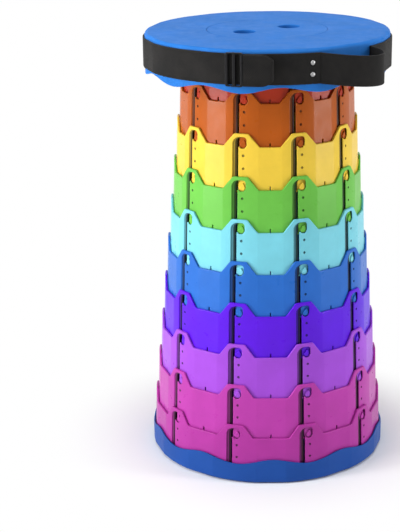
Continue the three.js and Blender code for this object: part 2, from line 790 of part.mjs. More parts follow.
TIER_FINISHES.slice(0, TIER_COUNT).forEach(([name, color], index) => {
  add(name, tierGeometry(index), color, GLOSS);
});
add('seat_cover', seatGeometry(), COVER_BLUE, SATIN);
add('seat_center_cap', seatCapGeometry(), COVER_BLUE, SATIN);
add('base_cover', baseGeometry(), COVER_BLUE, SATIN);
add('base_center_cap', baseCapGeometry(), COVER_BLUE, SATIN);
screwCopies((spot, _, index) => {
  add(`seat_screw_${index + 1}`, screwGeometry(spot), 0x9a9a9a, GLOSS, 1);
});
add('strap_band', bandGeometry(), WEBBING_BLACK, 0.9);
add('strap_handle', handleGeometry(), WEBBING_BLACK, 0.9);
add('strap_slider', sliderGeometry(), WEBBING_BLACK, GLOSS);
add('strap_fold', foldGeometry(), WEBBING_BLACK, 0.9);
rivetSpots().forEach(({ bearing, z }, index) => {
  add(`strap_rivet_${index + 1}`, rivetGeometry(bearing, z), 0xd0d0d0, GLOSS, 1);
});

export default stool;
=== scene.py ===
import math

import bmesh
import bpy
import numpy as np
from mathutils import Matrix, Vector
from mathutils.geometry import delaunay_2d_cdt


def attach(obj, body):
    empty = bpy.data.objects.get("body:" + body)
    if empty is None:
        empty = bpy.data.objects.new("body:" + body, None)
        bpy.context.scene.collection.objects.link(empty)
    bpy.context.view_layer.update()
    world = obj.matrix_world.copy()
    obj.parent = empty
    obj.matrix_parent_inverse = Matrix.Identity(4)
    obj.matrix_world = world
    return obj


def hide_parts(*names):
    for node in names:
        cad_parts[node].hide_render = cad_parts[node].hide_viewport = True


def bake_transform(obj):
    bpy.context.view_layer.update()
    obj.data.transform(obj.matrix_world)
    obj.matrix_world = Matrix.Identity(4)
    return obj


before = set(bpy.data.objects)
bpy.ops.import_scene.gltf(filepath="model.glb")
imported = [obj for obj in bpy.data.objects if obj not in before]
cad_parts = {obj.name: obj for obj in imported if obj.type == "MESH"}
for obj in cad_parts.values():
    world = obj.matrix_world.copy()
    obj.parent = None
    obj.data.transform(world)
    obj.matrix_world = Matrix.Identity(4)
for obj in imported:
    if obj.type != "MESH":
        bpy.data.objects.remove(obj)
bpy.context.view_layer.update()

MM = 0.001

# Sizes, in millimetres and degrees, the same as the part's
TIER_COLORS = {
    "red": (182, 55, 30),
    "orange": (180, 86, 17),
    "yellow": (242, 205, 69),
    "green": (109, 192, 74),
    "cyan": (123, 209, 225),
    "blue": (41, 107, 198),
    "purple": (93, 19, 221),
    "orchid": (160, 74, 211),
    "magenta": (182, 59, 165),
    "pink": (174, 53, 154),
}
TIERS = tuple(TIER_COLORS)
COUNT = 10
PERIOD = 36.0
TURN = 18.0
HUMP_BEARING = -15.0
HUMP_HALF = math.radians(10.9)
DIP_HALF = math.radians(TURN) - HUMP_HALF
TIER_HEIGHT = 59.1
TRAVEL = 42.8
TIER_FLOOR = 2.7
TIER_WALL = 2.0
LEAN = 0.03
BOTTOM_RADIUS = 122.984
TIER_STEP = 4.005
DIP_LEVEL = 45.9
HUMP_BASE = 38.0
HUMP_TOP_SHARE = 0.41
CREASE = 12.0
CREASE_STEPS = 3
COLUMN_STEP = 3.0
EDGE = 0.8
LUG_WIDTH = 7.0
LUG_HEIGHT = 8.5
LUG_LIFT = 1.9
LUG_OFFSET = 1.8
LUG_RECESS = 1.0
LUG_TIP = 1.0
LUG_SHOULDER = 0.35 * LUG_HEIGHT
LUG_CORNERS = [1.8, 1.8, 2.2, 0.9, 2.2]
SLOT_LEFT = -8.6
SLOT_LIP = 4.4
LIP_STEPS = ((0.0, 0.6), (0.25, 0.95), (4.4, 1.6))
LIP_SPLIT = 2.2
# Painted shade on the lip's left half, as a share of the full painted shade that its right half takes.
LIP_PAINTED_SHADE = 0.7
SLOT_RIGHT = -2.7
SLOT_FOOT = 1.6
POCKET_RIGHT = 5.8
POCKET_FLOOR = 44.4
HOOK_TOP = 55.7
COVER_RADIUS = 125.0
COVER_WALL = 1.7
SEAT_TOP = 450.0
SEAT_PLATE = 2.7
SKIRT_DEPTH = 39.3
BASE_PLATE = 2.4
BASE_RIM = 23.2
RIM_WAVE = 2.9
SEAT_WAVE_BEARING = -10.5
BASE_WAVE_BEARING = -14.0
COVER_EDGE = 3.5
CAP_RADIUS = 61.5
CAP_PLATE = 2.1
LEDGE_INNER = 49.5
LEDGE_OUTER = 65.8
LEDGE_PLATE = 2.0
GAP = 0.3
HOLE_RADIUS = 11.2
HOLE_REACH = 27.6
HOLE_TURN = 36.0
CUP_DEPTH = 20.0
CUP_WALL = 1.6
STRAP_LEVEL = 431.5
STRAP_SAG = 2.0
STRAP_TILT = 2.1
STRAP_HIGH_BEARING = -16.0
STRAP_WIDTH = 30.0
STRAP_THICKNESS = 1.6
STRAP_END = 7.5


# Small maths

def arrow(bearing):
    """The outward and the rightward direction in plan at a bearing."""
    turn = math.radians(bearing)
    outward = np.array([math.sin(turn), -math.cos(turn)])
    rightward = np.array([math.cos(turn), math.sin(turn)])
    return outward, rightward


def on_side(offset, face, bearing):
    """A place or a direction in plan, to the right of a bearing and out along it."""
    outward, rightward = arrow(bearing)
    return outward * face + rightward * offset


def tier_floor(index):
    return TIER_FLOOR + (COUNT - 1 - index) * TRAVEL


def tier_radius(index, height):
    return BOTTOM_RADIUS - (COUNT - 1 - index) * TIER_STEP - LEAN * height


CORNER_REACH = 0.49
MITRE_FLOOR = 0.35
SAME_SPOT = 1e-5
SLIVER = 1e-7
ON_LINE = 1e-3


def rounded(points, radii, steps=4):
    """An outline whose corners are replaced by arcs of the given radii; no radius keeps a corner."""
    result = []
    count = len(points)
    for index, radius in enumerate(np.broadcast_to(radii, count)):
        here = np.array(points[index], float)
        if radius == 0:
            result.append(here)
            continue
        before = np.array(points[index - 1], float) - here
        after = np.array(points[(index + 1) % count], float) - here
        long_before, long_after = np.linalg.norm(before), np.linalg.norm(after)
        before, after = before / long_before, after / long_after
        half = math.acos(max(-1.0, min(1.0, float(before @ after)))) / 2
        reach = min(radius / math.tan(half), long_before * CORNER_REACH, long_after * CORNER_REACH)
        radius = reach * math.tan(half)
        middle = here + (before + after) / np.linalg.norm(before + after) * radius / math.sin(half)
        start, finish = here + before * reach - middle, here + after * reach - middle
        sweep = math.pi - 2 * half
        for step in range(steps + 1):
            share = step / steps
            weight = math.sin((1 - share) * sweep), math.sin(share * sweep)
            result.append(middle + (start * weight[0] + finish * weight[1]) / math.sin(sweep))
    return np.array(result)


def inset(points, distance, closed=True):
    """The outline moved to its left by a distance."""
    points = np.asarray(points, float)
    ahead = np.roll(points, -1, axis=0) - points
    if not closed:
        ahead[-1] = ahead[-2]
    ahead /= np.linalg.norm(ahead, axis=1)[:, None]
    behind = np.roll(ahead, 1, axis=0)
    if not closed:
        behind[0] = ahead[0]
    left = np.stack([-ahead[:, 1] - behind[:, 1], ahead[:, 0] + behind[:, 0]], 1)
    left /= np.linalg.norm(left, axis=1)[:, None]
    cosine = left[:, 0] * -ahead[:, 1] + left[:, 1] * ahead[:, 0]
    return points + left * (distance / np.maximum(cosine, MITRE_FLOOR))[:, None]


def circle(centre, radius, steps):
    turns = np.arange(steps) * (2 * math.pi / steps)
    return np.stack([centre[0] + radius * np.cos(turns), centre[1] + radius * np.sin(turns)], 1)


def ring_rows(centre, profile, sides):
    """Level circles round a centre, one for each radius and height."""
    return [np.column_stack([circle(centre, r, sides), np.full(sides, z)]) for r, z in profile]


def reach_from(points, spot):
    return np.linalg.norm(points - np.array(spot), axis=1)


def inside(points, polygon):
    """Which points lie in a closed outline."""
    points, polygon = np.asarray(points), np.asarray(polygon)
    hits = np.zeros(len(points), bool)
    for start, finish in zip(polygon, np.roll(polygon, -1, axis=0)):
        crosses = (start[1] > points[:, 1]) != (finish[1] > points[:, 1])
        if start[1] == finish[1]:
            continue
        reach = start[0] + (points[:, 1] - start[1]) / (finish[1] - start[1]) * (finish[0] - start[0])
        hits ^= crosses & (points[:, 0] < reach)
    return hits


def distance_to(points, outline, closed=True):
    """Each point's distance from an outline."""
    best = np.full(len(points), np.inf)
    ends = np.roll(outline, -1, axis=0)
    for start, finish in zip(outline, ends if closed else ends[:-1]):
        along = finish - start
        share = np.clip(((points - start) @ along) / max(along @ along, 1e-12), 0, 1)
        near = start + share[:, None] * along
        best = np.minimum(best, np.linalg.norm(points - near, axis=1))
    return best


def triangulate(chains, keep):
    """Points and triangles of the flat region that keep accepts; every chain's edges are kept."""
    spots, edges = [], []
    for points, closed in chains:
        first, count = len(spots), len(points)
        spots.extend(Vector((float(x), float(y))) for x, y in points)
        last = count if closed else count - 1
        edges.extend((first + i, first + (i + 1) % count) for i in range(last))
    found, _, faces, *_ = delaunay_2d_cdt(spots, edges, [], 0, SAME_SPOT)
    flat = np.array([tuple(spot) for spot in found])
    faces = np.array([tuple(face) for face in faces])
    faces = faces[keep(flat[faces].mean(axis=1))]
    a, b, c = flat[faces[:, 0]], flat[faces[:, 1]], flat[faces[:, 2]]
    cross = (b[:, 0] - a[:, 0]) * (c[:, 1] - a[:, 1]) - (b[:, 1] - a[:, 1]) * (c[:, 0] - a[:, 0])
    faces, cross = faces[np.abs(cross) > SLIVER], cross[np.abs(cross) > SLIVER]
    faces[cross < 0] = faces[cross < 0][:, ::-1]
    used = np.unique(faces)
    renumber = np.full(len(flat), -1)
    renumber[used] = np.arange(len(used))
    return flat[used], renumber[faces]


def rim_edges(faces):
    """The directed edges that only one triangle has."""
    edges = {(a, b): None for face in faces.tolist() for a, b in zip(face, face[1:] + face[:1])}
    return [(a, b) for a, b in edges if (b, a) not in edges]


def bevel_drop(distance, size):
    """How far a rounded edge lies below its face, at a distance from the outline."""
    near = np.clip(size - distance, 0, size)
    return size - np.sqrt(np.maximum(size * size - near * near, 0))


BEVEL_SHARES = (0.134, 0.5, 1.0)


def bevelled(outline, size, closed=True):
    """An outline and the lines along its rounded edge."""
    lines = [inset(outline, size * share, closed) for share in BEVEL_SHARES]
    return [(line, closed) for line in (outline, *lines)]


SHARP_TURN = 35.0
NORMAL_WEIGHT = 80


# Mesh objects

def link(name, data):
    """A new object in the scene."""
    obj = bpy.data.objects.new(name, data)
    bpy.context.scene.collection.objects.link(obj)
    return obj


def make(name, verts, faces, painted_shades, sharp=SHARP_TURN, weld=0.0, weighted=True):
    """An object of smooth faces, with hard edges where they turn by more than an angle."""
    mesh = bpy.data.meshes.new(name)
    spots = [tuple(vert) for vert in np.asarray(verts) * MM]
    mesh.from_pydata(spots, [], [tuple(map(int, face)) for face in faces])
    # Each face's share of painted shade, which its material turns into a darker colour.
    painted_shade = mesh.attributes.new("painted_shade", "FLOAT", "FACE")
    painted_shade.data.foreach_set("value", painted_shades)
    mesh.validate()
    if weld:
        work = bmesh.new()
        work.from_mesh(mesh)
        bmesh.ops.remove_doubles(work, verts=work.verts, dist=weld * MM)
        bmesh.ops.recalc_face_normals(work, faces=work.faces)
        work.to_mesh(mesh)
        work.free()
    obj = link(name, mesh)
    mesh.shade_smooth()
    mesh.set_sharp_from_angle(angle=math.radians(sharp))
    if weighted:
        modifier = obj.modifiers.new("normals", "WEIGHTED_NORMAL")
        modifier.keep_sharp = True
        modifier.weight = NORMAL_WEIGHT
    return obj


class Shell:
    """Gathers closed shells into one mesh, and each face's share of painted shade."""

    def __init__(self):
        self.verts, self.faces, self.painted_shades = [], [], []

    def add(self, verts, faces, painted_shades=None):
        first = sum(len(block) for block in self.verts)
        self.verts.append(np.asarray(verts, float))
        self.faces.extend(tuple(first + int(i) for i in face) for face in faces)
        self.painted_shades.extend([0.0] * len(faces) if painted_shades is None else painted_shades)

    def loft(self, rows, ends="join"):
        """Rows of points joined by quads; the two end rows join, are capped, or stay open."""
        rows = np.asarray(rows, float)
        count, width, _ = rows.shape
        faces = []
        for row in range(count if ends == "join" else count - 1):
            here, there = row * width, (row + 1) % count * width
            for left in range(width):
                right = (left + 1) % width
                faces.append((here + left, here + right, there + right, there + left))
        if ends == "cap":
            faces.append(tuple(range(width))[::-1])
        if ends in ("cap", "cap last"):
            faces.append(tuple((count - 1) * width + i for i in range(width)))
        self.add(rows.reshape(-1, 3), faces)

    def prism(self, faces, front, back, skip=(), painted_shades=None):
        """Two matching sheets of points and the walls between their rims."""
        count = len(front)
        walls = [edge for edge in rim_edges(faces) if edge not in skip]
        solid = [tuple(face) for face in faces]
        solid += [(a + count, c + count, b + count) for a, b, c in faces]
        solid += [(b, a, a + count, b + count) for a, b in walls]
        # Painted shade for the front faces and the chosen walls; the back faces take none.
        if painted_shades:
            painted_front_shades, painted_wall_shades = painted_shades
            painted_shades = [*painted_front_shades, *[0.0] * len(faces)]
            painted_shades += [painted_wall_shades.get(edge, 0.0) for edge in walls]
        self.add(np.concatenate([front, back]), solid, painted_shades)

    def build(self, name, **options):
        return make(name, np.concatenate(self.verts), self.faces, self.painted_shades, **options)


# The wavy plan that rings and covers share

def plan_arcs(reference, soft):
    """Lean and place where a hump's arc ends, place where its crease ends, half the flat dip."""
    bend = math.acos((reference * math.cos(DIP_HALF) - soft) / (reference - soft))
    lean = math.radians(TURN) - bend
    start = reference * lean
    return lean, start, start + soft * bend, (reference - soft) * math.sin(bend)


def plan(along, reference, soft=CREASE):
    """Place and outward normal in plan, for a distance along one period from its hump's middle."""
    along = np.asarray(along, float)
    turn = math.radians(TURN)
    end_lean, start, finish, _ = plan_arcs(reference, soft)
    far = np.abs(along)
    on_hump = far < start
    in_crease = end_lean + (np.minimum(far, finish) - start) / soft
    lean = np.where(on_hump, far / reference, in_crease)
    radius = np.where(on_hump, reference, soft)
    hub = np.where(on_hump, 0.0, reference - soft)
    beyond = np.maximum(far - finish, 0)
    x = hub * math.sin(end_lean) + radius * np.sin(lean) + beyond * math.cos(turn)
    y = hub * math.cos(end_lean) + radius * np.cos(lean) - beyond * math.sin(turn)
    side = np.where(along < 0, -1.0, 1.0)
    return x * side, y, np.sin(lean) * side, np.cos(lean)


def half_period(reference, soft=CREASE):
    _, _, finish, flat = plan_arcs(reference, soft)
    return finish + flat


def plan_columns(reference, step):
    """Places along a period at which the curve of the hump and its creases is drawn."""
    _, start, finish, _ = plan_arcs(reference, CREASE)
    hump = np.linspace(-start, start, 2 * math.ceil(start / step) + 1)
    crease = np.linspace(start, finish, CREASE_STEPS + 1)[1:]
    return np.concatenate([-crease[::-1], hump, crease])


def settle(along, out, scale, reference, bearing):
    """World x and y of flat points about the hump at a bearing."""
    x, y, nx, ny = plan(along, reference)
    x, y = x * scale + nx * out, y * scale + ny * out
    outward, rightward = arrow(bearing)
    return x * rightward[0] + y * outward[0], x * rightward[1] + y * outward[1]


HOOK_STEPS = 5
HOOK_CORNERS = [3.2, 1.6, 1.6, 1.4, 0.9, 1.0]


def hook_outline(lip, corners):
    """The hooked slot; its left side lies a lip further in."""
    shoulder = POCKET_FLOOR + LUG_SHOULDER
    points = [
        (SLOT_LEFT + lip, SLOT_FOOT),
        (SLOT_LEFT + lip, HOOK_TOP),
        (POCKET_RIGHT, HOOK_TOP),
        (POCKET_RIGHT, shoulder),
        (LUG_OFFSET + LUG_WIDTH / 4, POCKET_FLOOR),
        (LUG_OFFSET - LUG_WIDTH / 4, POCKET_FLOOR),
        (SLOT_RIGHT, shoulder),
        (SLOT_RIGHT, SLOT_FOOT),
    ]
    return rounded(points, corners + HOOK_CORNERS, steps=HOOK_STEPS)


def lug_outline():
    left, right = LUG_OFFSET - LUG_WIDTH / 2, LUG_OFFSET + LUG_WIDTH / 2
    points = [
        (LUG_OFFSET - LUG_WIDTH / 4, LUG_LIFT),
        (LUG_OFFSET + LUG_WIDTH / 4, LUG_LIFT),
        (right, LUG_LIFT + LUG_SHOULDER),
        (LUG_OFFSET + LUG_TIP, LUG_LIFT + LUG_HEIGHT),
        (left, LUG_LIFT + LUG_SHOULDER),
    ]
    return rounded(points, LUG_CORNERS)


BASE_LUG_REACH = 0.9
SLOT_CORNERS = [1.0, 4.7]
LIP_CORNERS = [1.3, 7.6]
SPLIT_CORNERS = [1.15, 6.1]
FOOT_CORNERS = [0, 0.6, 0.48, 0.48, 0.6, 0]
BROW_CORNERS = [0, 3.0, 2.5, 3.8, 3.0, 0]
TICK_WIDTH = 1.0
TICK_HEIGHT = 6.5
PANEL_SHIFT = 4.0
OVERRUN = 2
LIP_OVERLAP = 0.05
GROOVE_TOP = POCKET_FLOOR + 4
GROOVE_HALF = LUG_WIDTH / 2 + GAP
GROOVE_SLOPE = 0.15
GROOVE_EDGE = 0.1
DIMPLES = ((2.5, 37.3), (2.5, 24.2))
DIMPLE_CORE = 0.01
DIMPLE_SIDES = 14
# Painted shade in the dimples, out to this reach from their middles.
DIMPLE_PAINTED_SHADE_REACH = 1.4
DIMPLE_PAINTED_SHADE = 0.8
DIMPLE_STEPS = ((1.6, 0.0), (1.35, 0.13), (1.0, 0.5), (0.5, 0.78))
LUG_STEPS = ((0.0, 0.0), (0.14, 0.62), (0.34, 0.92), (0.7, 1.0))
TIER_WELD = 0.002


def tier_lug_height(index, height):
    """How far the lug's face stands out of its own ring, at a height."""
    facet = math.cos(HUMP_HALF / 3)
    if index == COUNT - 1:
        face = COVER_RADIUS * facet - COVER_WALL + BASE_LUG_REACH
    else:
        face = tier_radius(index + 1, TRAVEL + LUG_LIFT + LUG_HEIGHT) * facet - LUG_RECESS
    return face - tier_radius(index, height)


class Panel:
    """One period of a ring, drawn flat, with a tick near its left end and a slot in its hump."""

    def __init__(self, index):
        self.index = index
        self.reference = tier_radius(index, TIER_HEIGHT / 2)
        self.half = half_period(self.reference)
        self.start, self.finish = -self.half - PANEL_SHIFT, self.half - PANEL_SHIFT
        before, beyond = self.start - OVERRUN, self.finish + OVERRUN
        hump_top = self.reference * HUMP_HALF * HUMP_TOP_SHARE
        hump_foot = HUMP_BASE / 2
        tick_left, tick_right = -self.half - TICK_WIDTH / 2, -self.half + TICK_WIDTH / 2
        self.foot = rounded([
            (before, 0), (tick_left, 0), (tick_left, TICK_HEIGHT),
            (tick_right, TICK_HEIGHT), (tick_right, 0), (beyond, 0),
        ], FOOT_CORNERS)
        self.brow = rounded([
            (beyond, DIP_LEVEL), (hump_foot, DIP_LEVEL), (hump_top, TIER_HEIGHT),
            (-hump_top, TIER_HEIGHT), (-hump_foot, DIP_LEVEL), (before, DIP_LEVEL),
        ], BROW_CORNERS, steps=5)
        self.hook = hook_outline(SLOT_LIP, SLOT_CORNERS)
        side_end = 2 * (HOOK_STEPS + 1)
        hook_side = self.hook[:side_end][::-1] + (LIP_OVERLAP, 0)
        self.lip = np.concatenate([self.hook[:1], hook_outline(0, LIP_CORNERS)[:side_end]])
        self.split = hook_outline(LIP_SPLIT, SPLIT_CORNERS)[2:side_end - 2]
        self.lip_area = np.concatenate([self.lip, hook_side])
        self.split_area = np.concatenate([self.split, hook_side])
        self.lug = lug_outline()
        self.edges = [(self.foot, False), (self.brow, False), (self.hook, True), (self.lip, False)]

    def chains(self):
        """Every line that the triangles follow."""
        chains = [chain for outline, closed in self.edges for chain in bevelled(outline, EDGE, closed)]
        chains += [(inset(self.lip, -LIP_STEPS[1][0], False)[1:-1], False), (self.split, False)]
        chains += [(inset(self.lug, distance), True) for distance, _ in LUG_STEPS]
        for x, z in DIMPLES:
            chains += [(circle((x, z), radius, DIMPLE_SIDES), True) for radius, _ in DIMPLE_STEPS]
            chains.append(([(x - DIMPLE_CORE, z), (x + DIMPLE_CORE, z)], False))
        for column in [self.start, self.finish, *plan_columns(self.reference, COLUMN_STEP)]:
            chains.append(([(column, -OVERRUN), (column, TIER_HEIGHT + OVERRUN)], False))
        if self.index > 0:
            for reach in (GROOVE_HALF, GROOVE_HALF - GROOVE_SLOPE):
                for column in (LUG_OFFSET - reach, LUG_OFFSET + reach):
                    chains.append(([(column, -OVERRUN), (column, GROOVE_TOP)], False))
        return chains

    def keep(self, points):
        within = inside(points, np.concatenate([self.foot, self.brow])) & ~inside(points, self.hook)
        return within & (points[:, 0] > self.start) & (points[:, 0] < self.finish)

    def front(self, flat):
        """How far the outer face stands out of the wall's plan."""
        rim = np.min([distance_to(flat, outline, closed) for outline, closed in self.edges], axis=0)
        lip_drop = np.interp(distance_to(flat, self.lip, False), *zip(*LIP_STEPS))
        front = -np.where(inside(flat, self.lip_area), lip_drop, bevel_drop(rim, EDGE))
        depth = distance_to(flat, self.lug)
        on_lug = inside(flat, self.lug) & (depth > ON_LINE / 10)
        lift = np.interp(depth, *zip(*LUG_STEPS)) * tier_lug_height(self.index, flat[:, 1])
        front = front + np.where(on_lug, lift, 0)
        radii, depths = zip(*reversed(DIMPLE_STEPS))
        for dimple in DIMPLES:
            front = front - np.interp(reach_from(flat, dimple), (0,) + radii, (1.0,) + depths)
        return front

    def back(self, flat):
        """The inner face, with a blind groove for the lug of the ring inside it."""
        back = np.full(len(flat), -TIER_WALL)
        if self.index == 0:
            return back
        level = TRAVEL + LUG_LIFT + LUG_HEIGHT
        floor = GAP - LUG_RECESS - LEAN * (level - flat[:, 1])
        within = np.abs(flat[:, 0] - LUG_OFFSET) < GROOVE_HALF - GROOVE_EDGE
        return np.where(within & (flat[:, 1] < GROOVE_TOP), np.maximum(back, floor), back)

    def walls(self, flat, faces):
        """The open edges at both ends, and the painted shade on the walls of the slot and the tick."""
        seams, painted_shades = set(), {}
        for a, b in rim_edges(faces):
            middle = (flat[a] + flat[b]) / 2
            on_slot = distance_to(middle[None], self.hook)[0] < 10 * ON_LINE
            if any(max(abs(flat[[a, b], 0] - line)) < ON_LINE for line in (self.start, self.finish)):
                seams.add((a, b))
            elif on_slot or abs(middle[0] + self.half) < TICK_WIDTH:
                painted_shades[(a, b)] = 1.0
        return seams, painted_shades

    def painted_recess_shades(self, flat, faces):
        """Painted shade on the outer face: part of it on the lip's left half, all of it on the lip's
        right half, and most of it in the dimples.
        """
        middles = flat[faces].mean(axis=1)
        painted_shades = LIP_PAINTED_SHADE * inside(middles, self.lip_area)
        painted_shades[inside(middles, self.split_area)] = 1.0
        for dimple in DIMPLES:
            painted_shades[reach_from(middles, dimple) < DIMPLE_PAINTED_SHADE_REACH] = DIMPLE_PAINTED_SHADE
        return painted_shades


SCREWS = 5
SCREW_BEARING = 3
SCREW_HOLE = 1.7
EAR_DEPTH = 11
EAR_HALF = 5
EAR_ROOT = 7
EAR_CORNER = 3
EAR_TOP = DIP_LEVEL - 3
EAR_PLATE = 2.4
EAR_SIDES = 20


def screw_spots():
    """Bearing and distance from the axis of each screw."""
    reach = tier_radius(0, DIP_LEVEL) * math.cos(DIP_HALF) - TIER_WALL - EAR_DEPTH + EAR_HALF
    return [(SCREW_BEARING + 2 * PERIOD * step, reach) for step in range(SCREWS)]


def screw_ears(shell):
    """Plates inside the top ring's dips that the seat's screws pass."""
    for bearing, reach in screw_spots():
        root, tip = reach + EAR_ROOT, reach - EAR_HALF
        outline = rounded([
            (-EAR_HALF, root), (-EAR_HALF, tip), (EAR_HALF, tip), (EAR_HALF, root),
        ], [0, EAR_CORNER, EAR_CORNER, 0])
        hole = circle((0, reach), SCREW_HOLE, EAR_SIDES)

        def keep(points):
            return inside(points, outline) & ~inside(points, hole)

        flat, faces = triangulate([(outline, True), (hole, True)], keep)
        outward, rightward = arrow(bearing)
        spots = flat[:, :1] * rightward + flat[:, 1:] * outward
        levels = [np.full(len(flat), tier_floor(0) + z) for z in (EAR_TOP, EAR_TOP - EAR_PLATE)]
        top, foot = (np.column_stack([spots, level]) for level in levels)
        shell.prism(faces[:, ::-1], top, foot)


def tier(index):
    """A ring: ten copies of its panel bent round the axis."""
    panel = Panel(index)
    flat, faces = triangulate(panel.chains(), panel.keep)
    offsets = panel.front(flat), panel.back(flat)
    seams, painted_wall_shades = panel.walls(flat, faces)
    # Painted shade on the lip, the dimples and the walls of the slot and the tick.
    painted_shades = panel.painted_recess_shades(flat, faces), painted_wall_shades
    scale = tier_radius(index, flat[:, 1]) / panel.reference
    shell = Shell()
    for copy in range(COUNT):
        sheets = []
        for out in offsets:
            x, y = settle(flat[:, 0], out, scale, panel.reference, HUMP_BEARING + PERIOD * copy)
            sheets.append(np.stack([x, y, flat[:, 1] + tier_floor(index)], 1))
        shell.prism(faces, *sheets, skip=seams, painted_shades=painted_shades)
    if index == 0:
        screw_ears(shell)
    return shell.build(f"ring_{index + 1:02d}_{TIERS[index]}", weld=TIER_WELD)


rings = [tier(index) for index in range(COUNT)]


# Covers
RING_SHARES = (0.25, 0.5, 0.75)
DIP_COLUMNS = 8
EDGE_STEPS = 8
RECESS_EDGE = ((0, 0.35), (0.12, 0.1), (0.4, 0))
RIM_ROUND = 0.5
RIM_BEVEL = 0.4
FILLET = 2
BOSS_RADIUS = 3.8
BOSS_OVERLAP = 0.2
COVER_WELD = 0.0005


def cover_ring():
    """Plan places, outward normals and bearings of a cover's columns, all the way round."""
    period = 2 * half_period(COVER_RADIUS)
    bend = plan_columns(COVER_RADIUS, COLUMN_STEP)
    dip = np.linspace(bend[-1], period - bend[-1], DIP_COLUMNS)[1:-1]
    spots, normals = [], []
    for copy in range(COUNT):
        for along in [*bend, *dip]:
            shift = 1 if along > period / 2 else 0
            x, y, nx, ny = plan(along - period * shift, COVER_RADIUS)
            bearing = HUMP_BEARING + PERIOD * (copy + shift)
            spots.append(on_side(x, y, bearing))
            normals.append(on_side(nx, ny, bearing))
    spots, normals = np.array(spots), np.array(normals)
    return spots, normals, np.degrees(np.arctan2(spots[:, 0], -spots[:, 1]))


COVER_SPOTS, COVER_NORMALS, COVER_BEARINGS = cover_ring()


def cover_row(height, out=0.0, radius=0.0, share=1.0):
    """A row along the cover's wall, moved out of it, or a share of the way there from a circle."""
    turns = np.radians(COVER_BEARINGS)
    ring = np.column_stack([radius * np.sin(turns), -radius * np.cos(turns)])
    wall = COVER_SPOTS + COVER_NORMALS * out
    flat = ring * (1 - share) + wall * share
    return np.column_stack([flat, np.broadcast_to(height, len(flat))])


def cover_rows(face, plate, rim, sign):
    """Section of a cover from the cap's recess out over its face, down its wall and back inside."""

    def on_circles(*profile):
        return [cover_row(face - sign * drop, radius=radius, share=0) for radius, drop in profile]

    recess = CAP_RADIUS + GAP
    edge = [(recess + out, drop) for out, drop in RECESS_EDGE]
    rows = on_circles((LEDGE_INNER, CAP_PLATE + GAP), (recess, CAP_PLATE + GAP), *edge)
    rows += [cover_row(face, -COVER_EDGE, recess, share) for share in RING_SHARES]
    for step in range(EDGE_STEPS + 1):
        turn = math.radians(90 * step / EDGE_STEPS)
        drop = COVER_EDGE * (1 - math.cos(turn))
        rows.append(cover_row(face - sign * drop, COVER_EDGE * (math.sin(turn) - 1)))
    bulk = sign * RIM_ROUND
    rows += [cover_row(height, out) for height, out in (
        (rim + bulk, 0), (rim + 0.3 * bulk, -0.3 * RIM_ROUND), (rim, -RIM_ROUND),
        (rim, RIM_BEVEL - COVER_WALL), (rim + bulk, -COVER_WALL),
        (face - sign * (plate + FILLET), -COVER_WALL),
        (face - sign * (plate + 0.3 * FILLET), -COVER_WALL - 0.3 * FILLET),
        (face - sign * plate, -COVER_WALL - FILLET),
    )]
    rows += on_circles(
        (LEDGE_OUTER, plate), (LEDGE_OUTER, plate + LEDGE_PLATE), (LEDGE_INNER, plate + LEDGE_PLATE),
    )
    return rows


def wave(bearing_of_low):
    return RIM_WAVE * np.cos(np.radians(COUNT * (COVER_BEARINGS - bearing_of_low)))


seat_shell = Shell()
seat_rim = SEAT_TOP - SKIRT_DEPTH - wave(SEAT_WAVE_BEARING)
seat_shell.loft(cover_rows(SEAT_TOP, SEAT_PLATE, seat_rim, 1))
boss_floor = tier_floor(0) + EAR_TOP + GAP
boss_top = SEAT_TOP - SEAT_PLATE + BOSS_OVERLAP
boss_section = [
    (SCREW_HOLE, boss_floor), (BOSS_RADIUS, boss_floor), (BOSS_RADIUS, boss_top), (SCREW_HOLE, boss_top),
]
for bearing, reach in screw_spots():
    seat_shell.loft(ring_rows(on_side(0, reach, bearing), boss_section, EAR_SIDES))
seat_skin = seat_shell.build("seat_shell_round", weld=COVER_WELD)

base_shell = Shell()
base_rim = BASE_RIM - wave(BASE_WAVE_BEARING)
base_shell.loft(cover_rows(0.0, BASE_PLATE, base_rim, -1)[::-1])
base_skin = base_shell.build("base_shell_round", weld=COVER_WELD)


# Centre caps
CAP_EDGE = 0.4
CAP_SIDES = 120
CAP_RINGS = (40.0, 52.0)
CAP_RING_SIDES = 60
CAP_SKIRT_WALL = 1.8
CAP_SKIRT_DEPTH = 4
CAP_SKIRT_EDGE = 0.3
CAP_SKIRT_SIDES = 80
HOLE_LIP = 1.1
HOLE_SIDES = 40
CUP_ROUND = 1.6
CUP_SOFT = 0.5
CAP_WELD = 0.01


